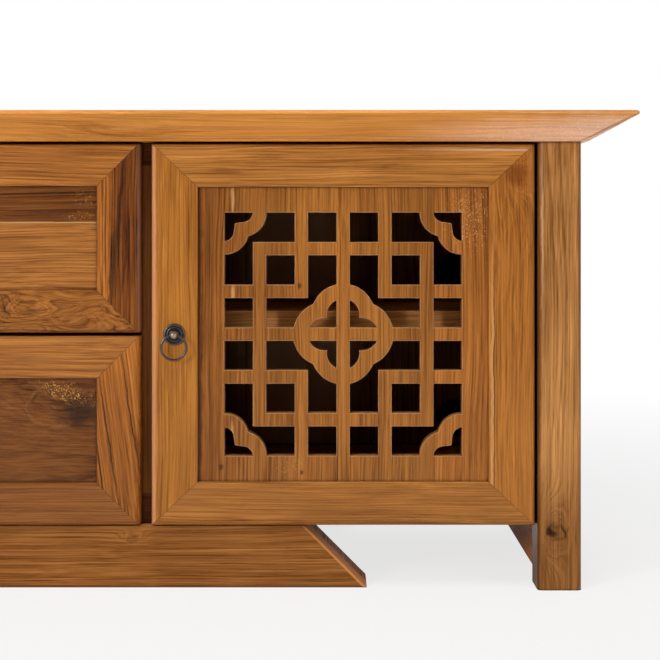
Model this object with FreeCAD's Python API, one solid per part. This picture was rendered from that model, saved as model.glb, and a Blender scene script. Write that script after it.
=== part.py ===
import FreeCAD, Part
import math
import os

Vector = FreeCAD.Vector

# Low teak TV cabinet. Millimetres, +Z up, +X to the right, the front faces -Y.
# The origin is on the floor, under the middle of the top.

# Overall size
WIDTH = 1600.0
DEPTH = 450.0
HEIGHT = 500.0

# Flat facets round a small turned or moulded piece
FACETS = 16

# Top: an undercut slab made of a frame round a plank panel
TOP_T = 29.0
TOP_NOSE = 4.0
TOP_OVERHANG = 50.0
TOP_FOOT = 6.0
TOP_FRAME_W = 100.0
TOP_ARRIS = 2.5

# Carcass
LEG = 46.0
LEG_ROUND = 5.0
RAIL_T = 18.0
TENON = 14.0
CROSS_TENON = 10.0
SIDE_RAIL_T = 28.0
SIDE_RAIL_INSET = 5.0
SIDE_RAIL_TOP_H = 60.0
SIDE_RAIL_LOW = 10.0
SIDE_PANEL_T = 15.0
PANEL_SEAT = 10.0
DIVIDER_X = 293.5
DIVIDER_T = 22.0
FLOOR_TOP = 98.0
FLOOR_T = 20.0
SHELF_TOP = 291.0
SHELF_T = 22.0
SHELF_DADO = 6.0
RAIL_H = 24.0
BACK_T = 12.0
BACK_INSET = 2.0
BACK_PLANK = 90.0
BACK_VEE = 1.6
CABLE_X = 650.0
CABLE_ABOVE_SHELF = 34.0
CABLE_HOLE_R = 20.0
RIM_WALL = 1.6
RIM_LIP = 4.5
RIM_LIP_T = 1.5
RIM_WEB = 2.0
RIM_WINDOW_W = 14.0
RIM_WINDOW_H = 10.0
RIM_WINDOW_LOW = -16.0

# Base boards with ends that flare at 45 degrees
BASE_TOP = 66.0
BASE_HALF_W = 525.0
BASE_T = 32.0
BASE_SETBACK = 10.0
BASE_ROUND = 4.0
BEARER_W = 30.0
BEARER_X = 425.0
BEARER_LOW = 20.0

# Doors and drawer fronts: mitred frames round grooved panels
FRONT_T = 22.0
FRONT_LOW = 68.0
FRONT_HIGH = 469.2
FRONT_ROUND = 5.0
FRONT_EASE = 2.0
FRONT_REVEAL = 0.8
FRONT_PANEL_T = 15.0
FRONT_PANEL_SINK = 4.0
FRONT_PANEL_SEAT = 8.0
DOOR_INNER_X = 298.5
DOOR_LEG_GAP = 2.8
DOOR_STILE_W = 48.8
DOOR_RAIL_W = 46.0
DRAWER_HALF_W = 286.0
DRAWER_GAP = 3.0
DRAWER_FRAME_W = 45.0

# Fretwork: a field of six by six cells inside the door panel
FRET_BAR = 14.0
FRET_CELL_W = 30.0
FRET_CELL_H = 31.0
FOIL_OFFSET = 18.9
FOIL_R = 34.0
FOIL_EYE_OFFSET = 20.0
FOIL_EYE_R = 17.2
CORNER_OFFSET = 18.5
CORNER_R = 25.8
CORNER_EYE_REACH = 30.0
CORNER_EYE_BEND = Vector(27.2, 0, 6.6)
CORNER_EYE_SHOULDER = Vector(20.0, 0, 10.0)
CORNER_EYE_HEART = Vector(11.2, 0, 11.2)

# Drawer boxes
BOX_HALF_W = 279.5
BOX_T = 12.0
BOX_H = 140.0
BOX_DEPTH = 348.0
BOX_FLOOR_T = 6.0
BOX_FLOOR_UP = 8.0
BOX_GROOVE = 6.0
RUNNER_W = 18.0
RUNNER_H = 20.0
RUNNER_PLAY = 0.5
LOWER_BOX_Z = 110.0
UPPER_BOX_Z = 300.0

# Concealed hinges: a curved link that slides into a socket on each side of the gap
HINGE_INSET_Z = 72.0
SOCKET_DEPTH = 15.0
SOCKET_H = 44.0
SOCKET_NEAR = 4.4
SOCKET_FAR = 18.5
LINK_R = 14.0
LINK_T = 4.0
LINK_H = 14.0
LINK_FROM = 30.0
LINK_SPAN = 120.0
LINK_PLAY = 0.35
LINK_END_PLAY = 2.0
CATCH_SIZE = Vector(12.0, 30.0, 12.0)
CATCH_Z = 424.0
STRIKE_W = 22.0
STRIKE_T = 1.5

# Ring pulls: a turned plate with a pierced ball stud, and a wire ring
PLATE_R = 11.4
# Inset from the plate's rim and rise above the face, from the rim's foot to the neck
PLATE_PROFILE = ((0, 0), (0, 1.0), (1.2, 2.0), (2.6, 1.2), (4.2, 2.1), (9.0, 3.0))
BALL_R = 4.25
BALL_OUT = 8.5
BALL_NECK = 60
BALL_STEP = 30
EYE_R = 2.4
RING_R = 13.15
RING_WIRE_R = 1.35
RING_SIDES = 8

# Planes that several pieces share
FRONT_Y = -DEPTH / 2 + TOP_OVERHANG
BACK_Y = DEPTH / 2
LEG_X = WIDTH / 2 - TOP_OVERHANG
LEG_IN_X = LEG_X - LEG
TOP_Z = HEIGHT - TOP_T
FRONT_BACK_Y = FRONT_Y + FRONT_T
CARCASS_Y = FRONT_BACK_Y + FRONT_REVEAL
PANEL_Y = FRONT_Y + FRONT_PANEL_SINK
BACK_PANEL_Y = BACK_Y - BACK_INSET - BACK_T
SIDE_RAIL_X = LEG_IN_X + SIDE_RAIL_INSET
SIDE_PANEL_X = SIDE_RAIL_X + (SIDE_RAIL_T - SIDE_PANEL_T) / 2
DIVIDER_IN_X = DIVIDER_X - DIVIDER_T / 2
DIVIDER_OUT_X = DIVIDER_X + DIVIDER_T / 2
DOOR_OUTER_X = LEG_IN_X - DOOR_LEG_GAP
DOOR_MID_X = (DOOR_INNER_X + DOOR_OUTER_X) / 2
FRONT_MID_Z = (FRONT_LOW + FRONT_HIGH) / 2
HINGE_X = LEG_IN_X - DOOR_LEG_GAP / 2
HINGE_Z = (FRONT_LOW + HINGE_INSET_Z, FRONT_HIGH - HINGE_INSET_Z)


def box(x0, x1, y0, y1, z0, z1):
    """A block between two corners."""
    return Part.makeBox(x1 - x0, y1 - y0, z1 - z0, Vector(x0, y0, z0))


def prism(points, direction):
    """A straight-sided solid: a closed outline pushed along a direction."""
    outline = Part.makePolygon(points + points[:1])
    return Part.Face(outline).extrude(direction)


def fused(solids):
    """Several touching solids joined into one, with no seams left on flat faces."""
    return solids[0].multiFuse(solids[1:]).removeSplitter()


def mirrored(shape):
    """The same piece on the other side of the cabinet."""
    return shape.mirror(Vector(0, 0, 0), Vector(1, 0, 0))


def both_sides(shape):
    """A right-hand piece and its left-hand twin."""
    return [shape, mirrored(shape)]


def straight_edges(shape, axis, *spots):
    """Edges along one axis; with spots, only those whose other two coordinates match a spot."""
    found = []
    for edge in shape.Edges:
        start = edge.Vertexes[0].Point
        end = edge.Vertexes[-1].Point
        across = [i for i in range(3) if i != axis]
        if any(abs(start[i] - end[i]) > 1e-6 for i in across):
            continue
        place = [start[i] for i in across]
        if not spots or any(math.dist(place, spot) < 1e-4 for spot in spots):
            found.append(edge)
    return found


def faceted(profile, closed):
    """A turned piece with flat facets: radius and rise along -Y, capped at both ends or closed."""
    turns = [2 * math.pi * (i + 0.5) / FACETS for i in range(FACETS)]
    rounds = [(math.cos(turn), math.sin(turn)) for turn in turns]
    rings = [[Vector(r * right, -rise, r * up) for right, up in rounds] for r, rise in profile]
    outlines = [] if closed else [rings[0], rings[-1]]
    for low, high in zip(rings, rings[1:] + rings[:1] if closed else rings[1:]):
        outlines += [[low[i - 1], low[i], high[i], high[i - 1]] for i in range(FACETS)]
    faces = [Part.Face(Part.makePolygon(outline + outline[:1])) for outline in outlines]
    return Part.makeSolid(Part.makeShell(faces))


def save(name, *solids):
    """Write one node: a single solid, or a group of like solids."""
    shape = solids[0] if len(solids) == 1 else Part.makeCompound(list(solids))
    shape.exportStep(os.path.join("parts", name + ".step"))


def edge_rail(length, far_mitre):
    """A rail of the top along X: outer edge at y = 0, undercut below, far end mitred or square."""
    start = -length / 2
    under = TOP_OVERHANG - TOP_FOOT
    section = [(TOP_FRAME_W, TOP_Z), (under, TOP_Z), (0, HEIGHT - TOP_NOSE)]
    section += [(0, HEIGHT), (TOP_FRAME_W, HEIGHT)]
    rail = prism([Vector(start, y, z) for y, z in section], Vector(length, 0, 0))
    rail = rail.makeFillet(TOP_ARRIS, straight_edges(rail, 0, (under, TOP_Z), (0, HEIGHT)))
    plan = [(start, 0), (-start, 0), (-start - far_mitre, TOP_FRAME_W), (start + TOP_FRAME_W, TOP_FRAME_W)]
    return rail.common(prism([Vector(x, y, TOP_Z) for x, y in plan], Vector(0, 0, TOP_T)))


def build_top():
    """The slab: an undercut frame with mitred front corners, a straight rear rail and the plank panel."""
    front = edge_rail(WIDTH, TOP_FRAME_W)
    front.translate(Vector(0, -DEPTH / 2, 0))
    right = edge_rail(DEPTH, 0)
    right.rotate(Vector(0, 0, 0), Vector(0, 0, 1), 90)
    right.translate(Vector(WIDTH / 2, 0, 0))
    in_x = WIDTH / 2 - TOP_FRAME_W
    in_y = DEPTH / 2 - TOP_FRAME_W
    save("top_front_rail", front)
    save("top_right_rail", right)
    save("top_left_rail", mirrored(right))
    save("top_rear_rail", box(-in_x, in_x, in_y, BACK_Y, TOP_Z, HEIGHT))
    save("top_panel", box(-in_x, in_x, -in_y, in_y, TOP_Z, HEIGHT))


def side_rail(low, high):
    """A right-hand rail between the front and rear legs, with a tenon on each end."""
    front = FRONT_Y + LEG
    rear = BACK_Y - LEG
    out_x = SIDE_RAIL_X + SIDE_RAIL_T
    rail = box(SIDE_RAIL_X, out_x, front, rear, low, high)
    middle = SIDE_RAIL_X + SIDE_RAIL_T / 2
    shoulder = (high - low) / 6
    tenon_x = (middle - TENON / 2, middle + TENON / 2)
    tenon = box(*tenon_x, front - TENON, rear + TENON, low + shoulder, high - shoulder)
    return fused([rail, tenon])


def cross_rail(y, low, half_w, height=RAIL_H):
    """A rail that runs across the cabinet, from leg to leg or from divider to divider."""
    return box(-half_w, half_w, y, y + RAIL_T, low, low + height)


def leg(x, y):
    """A square leg with rounded corners."""
    post = box(x, x + LEG, y, y + LEG, 0, TOP_Z)
    return post.makeFillet(LEG_ROUND, straight_edges(post, 2))


def back_planks(x0, x1):
    """A row of upright planks whose bevelled edges make a vee at each joint."""
    count = round((x1 - x0) / BACK_PLANK)
    width = (x1 - x0) / count
    planks = []
    for i in range(count):
        left = x0 + i * width
        plank = box(left, left + width, BACK_PANEL_Y, BACK_PANEL_Y + BACK_T, BASE_TOP, TOP_Z)
        planks.append(plank.makeChamfer(BACK_VEE, straight_edges(plank, 2)))
    return planks


def cable_holes():
    """Round bars that pierce the last right-hand plank, one for each level of the compartment."""
    levels = (FLOOR_TOP + CABLE_ABOVE_SHELF, SHELF_TOP + CABLE_ABOVE_SHELF)
    starts = [Vector(CABLE_X, BACK_PANEL_Y, z) for z in levels]
    return [Part.makeCylinder(CABLE_HOLE_R, BACK_T, start, Vector(0, 1, 0)) for start in starts]


def cable_rim(hole):
    """The moulded cup of one cable hole: a sleeve with a lip inside, closed but for a low window."""
    bore = CABLE_HOLE_R - RIM_WALL
    lip = CABLE_HOLE_R + RIM_LIP
    sleeve = [(bore, -RIM_WEB), (bore, -BACK_T), (CABLE_HOLE_R, -BACK_T), (CABLE_HOLE_R, 0)]
    rim = faceted(sleeve + [(lip, 0), (lip, RIM_LIP_T)], False)
    half = RIM_WINDOW_W / 2
    window_z = (RIM_WINDOW_LOW, RIM_WINDOW_LOW + RIM_WINDOW_H)
    rim = rim.cut(box(-half, half, -RIM_LIP_T, RIM_WEB, *window_z))
    centre = hole.BoundBox.Center
    rim.translate(Vector(centre.x, BACK_PANEL_Y, centre.z))
    return rim


def sector(radius, half_t, half_h, z, start, end):
    """A curved bar about the right-hand hinge axis, between two angles from +X."""
    base = Vector(HINGE_X, FRONT_Y, z - half_h)
    up = Vector(0, 0, 1)
    outer = Part.makeCylinder(radius + half_t, 2 * half_h, base, up, end - start)
    inner = Part.makeCylinder(radius - half_t, 2 * half_h, base, up)
    bar = outer.cut(inner)
    bar.rotate(base, up, start)
    return bar


def hinge_link(z):
    """The curved link of one hinge; closed, half of it is in the leg and half in the door."""
    return sector(LINK_R, LINK_T / 2, LINK_H / 2, z, LINK_FROM, LINK_FROM + LINK_SPAN)


def socket_mortise(z, face_x, inwards):
    """The pocket that one hinge socket fills, sunk in the leg or in the door's edge."""
    x0, x1 = sorted((face_x, face_x + inwards * SOCKET_DEPTH))
    return box(x0, x1, FRONT_Y + SOCKET_NEAR, FRONT_Y + SOCKET_FAR, z - SOCKET_H / 2, z + SOCKET_H / 2)


def hinge_socket(z, face_x, inwards):
    """A metal socket that fills its mortise, with a curved slot for the link."""
    start = LINK_FROM - LINK_END_PLAY
    end = LINK_FROM + LINK_SPAN + LINK_END_PLAY
    slot = sector(LINK_R, LINK_T / 2 + LINK_PLAY, LINK_H / 2 + LINK_PLAY, z, start, end)
    return socket_mortise(z, face_x, inwards).cut(slot)


def build_carcass():
    """Legs, rails, panels, dividers, floor, shelves, back and the fixed half of the door fittings."""
    rail_back_y = BACK_PANEL_Y - RAIL_T
    upper_side = side_rail(TOP_Z - SIDE_RAIL_TOP_H, TOP_Z)
    lower_side = side_rail(SIDE_RAIL_LOW, FLOOR_TOP)
    panel_y = (FRONT_Y + LEG - PANEL_SEAT, BACK_Y - LEG + PANEL_SEAT)
    panel_z = (FLOOR_TOP - PANEL_SEAT, TOP_Z - SIDE_RAIL_TOP_H + PANEL_SEAT)
    side_panel = box(SIDE_PANEL_X, SIDE_PANEL_X + SIDE_PANEL_T, *panel_y, *panel_z)
    upper_side = upper_side.cut(side_panel)
    lower_side = lower_side.cut(side_panel)

    low_h = FLOOR_TOP - BASE_TOP
    leg_to_leg = LEG_IN_X + CROSS_TENON
    front_top = cross_rail(CARCASS_Y, TOP_Z - RAIL_H, leg_to_leg)
    front_low = cross_rail(CARCASS_Y, BASE_TOP, leg_to_leg, low_h)
    rear_top = cross_rail(rail_back_y, TOP_Z - RAIL_H, leg_to_leg)
    rear_low = cross_rail(rail_back_y, BASE_TOP, leg_to_leg, low_h)
    middle_z = FRONT_LOW + (FRONT_HIGH - FRONT_LOW - RAIL_H) / 2
    front_middle = cross_rail(CARCASS_Y, middle_z, DIVIDER_IN_X)
    rails = [front_top, front_low, rear_top, rear_low, front_middle]

    mortises = [socket_mortise(z, LEG_IN_X, 1) for z in HINGE_Z]
    seats = rails + [upper_side, lower_side, side_panel] + mortises
    for name, y in (("front", FRONT_Y), ("rear", BACK_Y - LEG)):
        right = leg(LEG_IN_X, y).cut(seats)
        save("leg_" + name + "_right", right)
        save("leg_" + name + "_left", mirrored(right))
    save("side_rails", *both_sides(upper_side), *both_sides(lower_side))
    save("cross_rails", *rails)

    rear_leg_space = box(LEG_IN_X, LEG_X, BACK_Y - LEG, BACK_Y, 0, TOP_Z)
    front_leg_space = box(LEG_IN_X, LEG_X, FRONT_Y, FRONT_Y + LEG, 0, TOP_Z)
    inside_y = (CARCASS_Y + RAIL_T, rail_back_y)
    floor = box(-SIDE_RAIL_X, SIDE_RAIL_X, *inside_y, FLOOR_TOP - FLOOR_T, FLOOR_TOP)
    save("carcass_floor", floor.cut(both_sides(rear_leg_space) + both_sides(front_leg_space)))

    shelf_x = (DIVIDER_OUT_X - SHELF_DADO, SIDE_PANEL_X + SHELF_DADO)
    shelf = box(*shelf_x, FRONT_Y + LEG, BACK_PANEL_Y, SHELF_TOP - SHELF_T, SHELF_TOP)
    shelf = shelf.cut(rear_leg_space)
    save("shelves", *both_sides(shelf))
    save("side_panels", *both_sides(side_panel.cut(shelf)))

    divider = box(DIVIDER_IN_X, DIVIDER_OUT_X, CARCASS_Y, BACK_PANEL_Y, FLOOR_TOP, TOP_Z)
    divider = divider.cut([front_top, rear_top, shelf])
    save("divider_right", divider)
    save("divider_left", mirrored(divider))

    holes = cable_holes()
    side_planks = back_planks(DIVIDER_X, LEG_IN_X)
    pierced = side_planks.pop().cut(holes)
    planks = [twin for right in side_planks for twin in both_sides(right)]
    save("back_planks", *back_planks(-DIVIDER_X, DIVIDER_X), *planks)
    save("back_cable_planks", *both_sides(pierced))
    save("cable_rims", *[twin for hole in holes for twin in both_sides(cable_rim(hole))])

    runners = []
    lower_top = LOWER_BOX_Z - RUNNER_PLAY
    upper_top = UPPER_BOX_Z - RUNNER_PLAY
    for low, high in ((FLOOR_TOP, lower_top), (upper_top - RUNNER_H, upper_top)):
        strip = box(DIVIDER_IN_X - RUNNER_W, DIVIDER_IN_X, *inside_y, low, high)
        runners += both_sides(strip)
    save("drawer_runners", *runners)

    sockets = [hinge_socket(z, LEG_IN_X, 1) for z in HINGE_Z]
    catch_corner = Vector(DIVIDER_OUT_X, CARCASS_Y, CATCH_Z)
    catch = Part.makeBox(CATCH_SIZE.x, CATCH_SIZE.y, CATCH_SIZE.z, catch_corner)
    fittings = [twin for right in sockets + [catch] for twin in both_sides(right)]
    save("carcass_fittings", *fittings)


def flared_board(y, thickness, top):
    """A base board whose ends slope outwards to the floor."""
    top_half = BASE_HALF_W - top
    outline = [Vector(-BASE_HALF_W, y, 0), Vector(BASE_HALF_W, y, 0)]
    outline += [Vector(top_half, y, top), Vector(-top_half, y, top)]
    return prism(outline, Vector(0, thickness, 0))


def round_face(board, y):
    """The board with its sloping end arrises and its lower arris rounded on one face."""
    arrises = []
    for edge in board.Edges:
        on_face = edge.BoundBox.YMax - edge.BoundBox.YMin < 1e-6 and abs(edge.BoundBox.YMin - y) < 1e-6
        if on_face and edge.BoundBox.ZMin < 1e-6:
            arrises.append(edge)
    return board.makeFillet(BASE_ROUND, arrises)


def build_base():
    """The flared boards under the front and back, and the bearers that join them to the floor."""
    front_y = FRONT_Y + BASE_SETBACK
    floor_low = FLOOR_TOP - FLOOR_T
    rear_y = BACK_PANEL_Y - BASE_T
    save("base_front_board", round_face(flared_board(front_y, BASE_T, BASE_TOP), front_y))
    save("base_rear_board", round_face(flared_board(rear_y, BASE_T, BASE_TOP), rear_y + BASE_T))
    backing_y = front_y + BASE_T
    backing = flared_board(backing_y, BASE_T, floor_low)
    bearers = [backing.cut(cross_rail(CARCASS_Y, BASE_TOP, LEG_IN_X))]
    for x in (-BEARER_X, 0, BEARER_X):
        half = BEARER_W / 2
        bearers.append(box(x - half, x + half, backing_y + BASE_T, rear_y, BEARER_LOW, floor_low))
    save("base_bearers", *bearers)


def frame_member(length, width, next_w):
    """One mitred member along X, outer edge at z = 0, face at y = 0; next_w is its neighbours' width."""
    blank = box(-length / 2, length / 2, 0, FRONT_T, -width, 0)
    blank = blank.makeFillet(FRONT_ROUND, straight_edges(blank, 0, (0, 0)))
    blank = blank.makeFillet(FRONT_EASE, straight_edges(blank, 0, (0, -width)))
    outline = [Vector(-length / 2, 0, 0), Vector(length / 2, 0, 0)]
    outline += [Vector(length / 2 - next_w, 0, -width), Vector(next_w - length / 2, 0, -width)]
    return blank.common(prism(outline, Vector(0, FRONT_T, 0)))


def front_frame(x, z, width, height, stile_w, rail_w):
    """The four members of a front round a flat panel; returns them by side, with the panel."""
    panel_w = width / 2 - stile_w + FRONT_PANEL_SEAT
    panel_h = height / 2 - rail_w + FRONT_PANEL_SEAT
    panel_z = (z - panel_h, z + panel_h)
    panel = box(x - panel_w, x + panel_w, PANEL_Y, PANEL_Y + FRONT_PANEL_T, *panel_z)
    rail = (frame_member(width, rail_w, stile_w), height / 2)
    stile = (frame_member(height, stile_w, rail_w), width / 2)
    members = {"panel": panel}
    sides = {"top": (rail, 0), "right": (stile, 90), "bottom": (rail, 180), "left": (stile, -90)}
    for side, ((blank, out), turn) in sides.items():
        member = blank.copy()
        member.translate(Vector(0, FRONT_Y, out))
        member.rotate(Vector(0, 0, 0), Vector(0, 1, 0), turn)
        member.translate(Vector(x, 0, z))
        members[side] = member.cut(panel)
    return members


def fret_discs(centres, radius):
    """Overlapping discs, as deep as the panel."""
    along = Vector(0, 1, 0)
    starts = [Vector(x, PANEL_Y, z) for x, z in centres]
    return fused([Part.makeCylinder(radius, FRONT_PANEL_T, start, along) for start in starts])


def corner_eye():
    """The lobed opening in a corner of the fretwork, with the corner at the origin."""
    corner = Vector(0, 0, 0)
    reach = Vector(CORNER_EYE_REACH, 0, 0)
    swap = lambda v: Vector(v.z, 0, v.x)
    edges = [Part.makeLine(corner, reach)]
    edges.append(Part.Arc(reach, CORNER_EYE_BEND, CORNER_EYE_SHOULDER).toShape())
    edges.append(Part.makeLine(CORNER_EYE_SHOULDER, CORNER_EYE_HEART))
    edges.append(Part.makeLine(CORNER_EYE_HEART, swap(CORNER_EYE_SHOULDER)))
    edges.append(Part.Arc(swap(CORNER_EYE_SHOULDER), swap(CORNER_EYE_BEND), swap(reach)).toShape())
    edges.append(Part.makeLine(swap(reach), corner))
    eye = Part.Face(Part.Wire(edges)).extrude(Vector(0, FRONT_PANEL_T, 0))
    eye.translate(Vector(0, PANEL_Y, 0))
    return eye


def fret_panel(panel, x, z):
    """The door panel with its pierced field: bars, the middle foil and a lobed band in each corner."""
    half_w = 3 * FRET_CELL_W + 2.5 * FRET_BAR
    half_h = 3 * FRET_CELL_H + 2.5 * FRET_BAR
    step_x = FRET_CELL_W + FRET_BAR
    step_z = FRET_CELL_H + FRET_BAR
    half = FRET_BAR / 2
    near_y = PANEL_Y
    far_y = PANEL_Y + FRONT_PANEL_T
    field = box(-half_w, half_w, near_y, far_y, -half_h, half_h)
    upright = box(-half, half, near_y, far_y, -half_h, half_h)
    level = box(-half_w, half_w, near_y, far_y, -half, half)
    square_x = 2 * step_x + half
    square_z = 2 * step_z + half
    pieces = [upright, level]
    for side in (-1, 1):
        bar_x = side * 2 * step_x
        bar_z = side * 2 * step_z
        pieces.append(box(bar_x - half, bar_x + half, near_y, far_y, -square_z, square_z))
        pieces.append(box(-square_x, square_x, near_y, far_y, bar_z - half, bar_z + half))
    short_upright = box(step_x - half, step_x + half, near_y, far_y, step_z - half, half_h)
    short_level = box(step_x - half, half_w, near_y, far_y, step_z - half, step_z + half)
    band = fret_discs(((CORNER_OFFSET, 0), (0, CORNER_OFFSET)), CORNER_R).cut(corner_eye())
    band.rotate(Vector(0, 0, 0), Vector(0, 1, 0), 180)
    band.translate(Vector(half_w, 0, half_h))
    for quarter in both_sides(short_upright) + both_sides(short_level) + both_sides(band):
        pieces.append(quarter)
        pieces.append(quarter.mirror(Vector(0, 0, 0), Vector(0, 0, 1)))
    around = lambda offset: ((offset, 0), (0, offset), (-offset, 0), (0, -offset))
    pieces.append(fret_discs(around(FOIL_OFFSET), FOIL_R))
    eyes = fret_discs(around(FOIL_EYE_OFFSET), FOIL_EYE_R).cut([upright, level])
    tracery = fused(pieces).cut(eyes).common(field)
    for shape in (field, tracery):
        shape.translate(Vector(x, 0, z))
    return fused([panel.cut(field), tracery])


def polar(radius, count):
    """Points evenly round a circle, as pairs."""
    turns = [2 * math.pi * i / count for i in range(count)]
    return [(radius * math.cos(turn), radius * math.sin(turn)) for turn in turns]


def pull_plate(x, y, z):
    """A turned plate with a raised bead, a neck and a pierced ball, on a face at y."""
    profile = [(PLATE_R - inset, rise) for inset, rise in PLATE_PROFILE]
    for angle in range(-BALL_NECK, 90, BALL_STEP):
        turn = math.radians(angle)
        profile.append((BALL_R * math.cos(turn), BALL_OUT + BALL_R * math.sin(turn)))
    section = [Vector(-BALL_R, out - BALL_OUT, up) for out, up in polar(EYE_R, RING_SIDES)]
    plate = faceted(profile, False).cut(prism(section, Vector(2 * BALL_R, 0, 0)))
    plate.translate(Vector(x, y, z))
    return plate


def pull_ring(x, y, z):
    """The wire ring, hanging in the eye of the ball."""
    section = [(RING_R + out, rise) for out, rise in polar(RING_WIRE_R, RING_SIDES)]
    ring = faceted(section, True)
    ring.translate(Vector(x, y - BALL_OUT, z - RING_R))
    return ring


def build_doors():
    """Both doors: the right-hand one is made, the left-hand one is its mirror."""
    width = DOOR_OUTER_X - DOOR_INNER_X
    height = FRONT_HIGH - FRONT_LOW
    frame = front_frame(DOOR_MID_X, FRONT_MID_Z, width, height, DOOR_STILE_W, DOOR_RAIL_W)
    mortises = [socket_mortise(z, DOOR_OUTER_X, -1) for z in HINGE_Z]
    sockets = [hinge_socket(z, DOOR_OUTER_X, -1) for z in HINGE_Z]
    strike_x = (DIVIDER_OUT_X, DIVIDER_OUT_X + STRIKE_W)
    strike = box(*strike_x, FRONT_BACK_Y - STRIKE_T, FRONT_BACK_Y, CATCH_Z, CATCH_Z + CATCH_SIZE.z)
    pull_x = DOOR_INNER_X + DOOR_STILE_W / 2
    pieces = {"hinge_stile": [frame["right"].cut(mortises)], "pull_stile": [frame["left"].cut(strike)]}
    pieces.update({"top_rail": [frame["top"]], "bottom_rail": [frame["bottom"]]})
    pieces["fret_panel"] = [fret_panel(frame["panel"], DOOR_MID_X, FRONT_MID_Z)]
    pieces["fittings"] = sockets + [strike]
    pieces["hinge_links"] = [hinge_link(z) for z in HINGE_Z]
    for name, solids in pieces.items():
        save("right_door_" + name, *solids)
        save("left_door_" + name, *[mirrored(solid) for solid in solids])
    for door, x in (("right_door_", pull_x), ("left_door_", -pull_x)):
        save(door + "pull_plate", pull_plate(x, FRONT_Y, FRONT_MID_Z))
        save(door + "pull_ring", pull_ring(x, FRONT_Y, FRONT_MID_Z))


def build_drawer(name, low, box_z):
    """One drawer: a framed front with a plank panel, and a box with a grooved-in bottom behind it."""
    height = (FRONT_HIGH - FRONT_LOW - DRAWER_GAP) / 2
    middle = low + height / 2
    frame = front_frame(0, middle, 2 * DRAWER_HALF_W, height, DRAWER_FRAME_W, DRAWER_FRAME_W)
    for side, kind in (("left", "stile"), ("right", "stile"), ("top", "rail"), ("bottom", "rail")):
        save("_".join((name, side, kind)), frame[side])
    save(name + "_front_panel", frame["panel"])

    in_x = BOX_HALF_W - BOX_T
    front_y = FRONT_BACK_Y
    rear_y = FRONT_BACK_Y + BOX_DEPTH
    floor_x = in_x + BOX_GROOVE
    floor_y = (front_y + BOX_T - BOX_GROOVE, rear_y - BOX_T + BOX_GROOVE)
    floor_z = (box_z + BOX_FLOOR_UP, box_z + BOX_FLOOR_UP + BOX_FLOOR_T)
    bottom = box(-floor_x, floor_x, *floor_y, *floor_z)
    side = box(in_x, BOX_HALF_W, front_y, rear_y, box_z, box_z + BOX_H)
    inner_front = box(-in_x, in_x, front_y, front_y + BOX_T, box_z, box_z + BOX_H)
    back = box(-in_x, in_x, rear_y - BOX_T, rear_y, box_z, box_z + BOX_H)
    save(name + "_box_walls", *[wall.cut(bottom) for wall in both_sides(side) + [inner_front, back]])
    save(name + "_box_bottom", bottom)
    save(name + "_pull_plate", pull_plate(0, PANEL_Y, middle))
    save(name + "_pull_ring", pull_ring(0, PANEL_Y, middle))


os.makedirs("parts", exist_ok=True)
build_top()
build_carcass()
build_base()
build_doors()
build_drawer("lower_drawer", FRONT_LOW, LOWER_BOX_Z)
build_drawer("upper_drawer", (FRONT_LOW + FRONT_HIGH + DRAWER_GAP) / 2, UPPER_BOX_Z)
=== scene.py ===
import math

import bmesh
import bpy
from mathutils import Matrix, Vector


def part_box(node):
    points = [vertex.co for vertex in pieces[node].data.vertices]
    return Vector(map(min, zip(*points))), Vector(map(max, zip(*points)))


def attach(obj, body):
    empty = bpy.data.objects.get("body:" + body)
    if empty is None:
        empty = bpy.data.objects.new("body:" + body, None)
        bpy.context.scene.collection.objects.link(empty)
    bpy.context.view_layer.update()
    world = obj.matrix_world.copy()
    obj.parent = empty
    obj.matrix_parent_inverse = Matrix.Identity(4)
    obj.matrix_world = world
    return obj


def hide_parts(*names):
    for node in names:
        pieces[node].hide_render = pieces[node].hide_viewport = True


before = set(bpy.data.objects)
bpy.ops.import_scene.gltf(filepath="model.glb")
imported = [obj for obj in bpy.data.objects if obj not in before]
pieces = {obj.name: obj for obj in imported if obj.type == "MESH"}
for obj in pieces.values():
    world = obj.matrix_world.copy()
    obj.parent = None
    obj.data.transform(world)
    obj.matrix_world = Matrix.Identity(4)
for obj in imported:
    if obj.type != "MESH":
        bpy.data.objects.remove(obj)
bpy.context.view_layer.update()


# Top front rail
# The front edge of the top: one long golden teak board, undercut below so that only a thin nose shows.
# It is mitred to the end rails, sanded and given a satin varnish.
def put(tree, kind, feeds=None, **options):
    """Adds a shader node with its options, and feeds its sockets with values or other nodes' outputs."""
    made = tree.nodes.new("ShaderNode" + kind)
    for option, value in options.items():
        setattr(made, option, value)
    for socket, value in (feeds or {}).items():
        if isinstance(value, bpy.types.NodeSocket):
            tree.links.new(value, made.inputs[socket])
        else:
            made.inputs[socket].default_value = value
    return made


def reckon(tree, operation, *terms):
    """The result of one sum on plain values."""
    return put(tree, "Math", dict(enumerate(terms)), operation=operation).outputs[0]


def steer(tree, operation, *terms):
    """The result of one sum on vectors: a length or a dot product is a plain value, the rest are vectors."""
    made = put(tree, "VectorMath", dict(enumerate(terms)), operation=operation)
    return made.outputs["Value" if operation in ("LENGTH", "DOT_PRODUCT") else "Vector"]


def stretch(tree, vector, amount):
    """A vector made longer or shorter by a value."""
    return put(tree, "VectorMath", {0: vector, "Scale": amount}, operation="SCALE").outputs[0]


def mottle(tree, place, times, detail=2.0, roughness=0.5):
    """Cloudy noise from 0 to 1; times is how often it changes in a metre along each axis."""
    feeds = {"Vector": steer(tree, "MULTIPLY", place, times), "Scale": 1.0}
    feeds.update({"Detail": detail, "Roughness": roughness})
    return put(tree, "TexNoise", feeds).outputs[0]


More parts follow.
